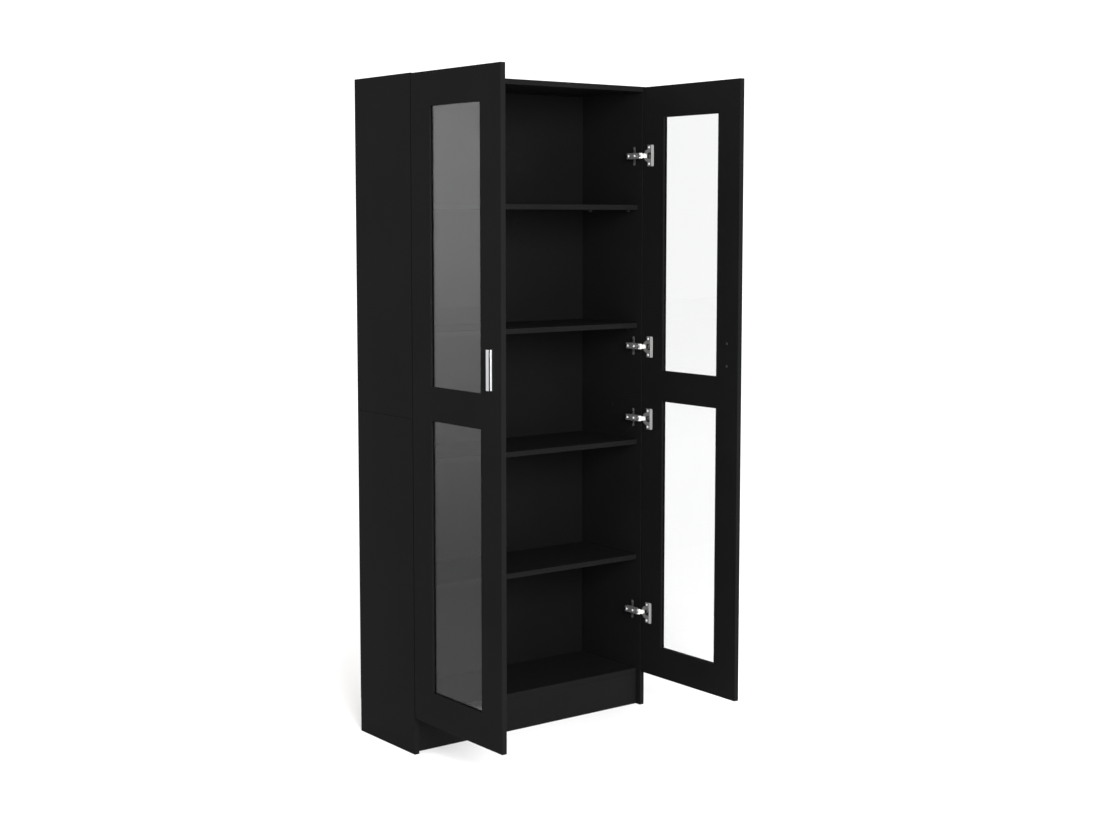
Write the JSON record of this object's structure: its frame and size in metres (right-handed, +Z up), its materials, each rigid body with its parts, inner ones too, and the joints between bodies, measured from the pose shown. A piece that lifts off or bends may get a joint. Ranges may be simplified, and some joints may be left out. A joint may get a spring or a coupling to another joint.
{
  "type": "bookcase with glass doors",
  "caption": "Tall black board bookcase with full-height glazed doors on concealed cup hinges, shelves inside and a recessed plinth.",
  "frame": {"origin": "on the floor at the middle of the plinth's bottom face", "axes": "+X to the right of someone facing the doors, +Y from the front to the back, +Z up"},
  "size_m": [0.848, 0.7016, 1.855],
  "materials": {
    "black_board": "black satin board with matching edge band",
    "back_board": "black lacquered thin sheet",
    "black_bead": "matt black strip",
    "clear_glass": "clear polished",
    "chrome": "polished plating",
    "plated_steel": "bright nickel plating",
    "grey_casting": "dull grey casting",
    "steel": "zinc plated",
    "zinc": "cast zinc",
    "beech": "plain fluted dowel"
  },
  "bodies": {
    "carcass": {"back_nails": "steel", "back_sheet_lower": "back_board", "back_sheet_upper": "back_board", "bottom_panel": "black_board", "cam_bolts": "zinc", "cam_locks": "zinc", "dowels": "beech", "left_arm_screws": "steel", "left_hinge_arms": "grey_casting", "left_hinge_plates": "plated_steel", "left_plate_screws": "steel", "left_side_lower": "black_board", "left_side_upper": "black_board", "plinth": "black_board", "right_arm_screws": "steel", "right_hinge_arms": "grey_casting", "right_hinge_plates": "plated_steel", "right_plate_screws": "steel", "right_side_lower": "black_board", "right_side_upper": "black_board", "shelf_1": "black_board", "shelf_2": "black_board", "shelf_3": "black_board", "shelf_4": "black_board", "shelf_pins": "steel", "top_panel": "black_board"},
    "left_outer_links": {"left_outer_links": "plated_steel"},
    "left_inner_links": {"left_inner_links": "plated_steel"},
    "left_door": {"left_cup_screws": "steel", "left_door_panel": "black_board", "left_glass_lower": "clear_glass", "left_glass_upper": "clear_glass", "left_glazing_beads": "black_bead", "left_handle": "chrome", "left_handle_screws": "steel", "left_hinge_cups": "plated_steel"},
    "right_outer_links": {"right_outer_links": "plated_steel"},
    "right_inner_links": {"right_inner_links": "plated_steel"},
    "right_door": {"right_cup_screws": "steel", "right_door_panel": "black_board", "right_glass_lower": "clear_glass", "right_glass_upper": "clear_glass", "right_glazing_beads": "black_bead", "right_handle": "chrome", "right_handle_screws": "steel", "right_hinge_cups": "plated_steel"}
  },
  "joints": [
    {"name": "left_outer_link_turn", "type": "hinge", "parent": "carcass", "child": "left_outer_links", "pos_m": [-0.3855, -0.028, 0.87599], "axis": [0, 0, -1], "range_deg": [-2.18, 19.54]},
    {"name": "left_door_swing", "type": "hinge", "parent": "left_outer_links", "child": "left_door", "pos_m": [-0.40092, -0.03869, 0.87599], "axis": [0, 0, -1], "range_deg": [-109.53, 12.17]},
    {"name": "left_inner_link_turn", "type": "hinge", "parent": "carcass", "child": "left_inner_links", "pos_m": [-0.391, -0.0195, 0.87599], "axis": [0, 0, -1], "range_deg": [-0.41, 3.61]},
    {"name": "right_outer_link_turn", "type": "hinge", "parent": "carcass", "child": "right_outer_links", "pos_m": [0.3855, -0.028, 0.87599], "axis": [0, 0, 1], "range_deg": [-2.18, 19.54]},
    {"name": "right_door_swing", "type": "hinge", "parent": "right_outer_links", "child": "right_door", "pos_m": [0.40092, -0.03869, 0.87599], "axis": [0, 0, 1], "range_deg": [-109.53, 12.17]},
    {"name": "right_inner_link_turn", "type": "hinge", "parent": "carcass", "child": "right_inner_links", "pos_m": [0.391, -0.0195, 0.87599], "axis": [0, 0, 1], "range_deg": [-0.41, 3.61]}
  ],
  "couplings": [
    {"joint": "left_outer_link_turn", "follows": "left_door_swing", "ratio": -0.17827},
    {"joint": "left_inner_link_turn", "follows": "left_door_swing", "ratio": -0.032869},
    {"joint": "right_outer_link_turn", "follows": "right_door_swing", "ratio": -0.17827},
    {"joint": "right_inner_link_turn", "follows": "right_door_swing", "ratio": -0.032869}
  ]
}
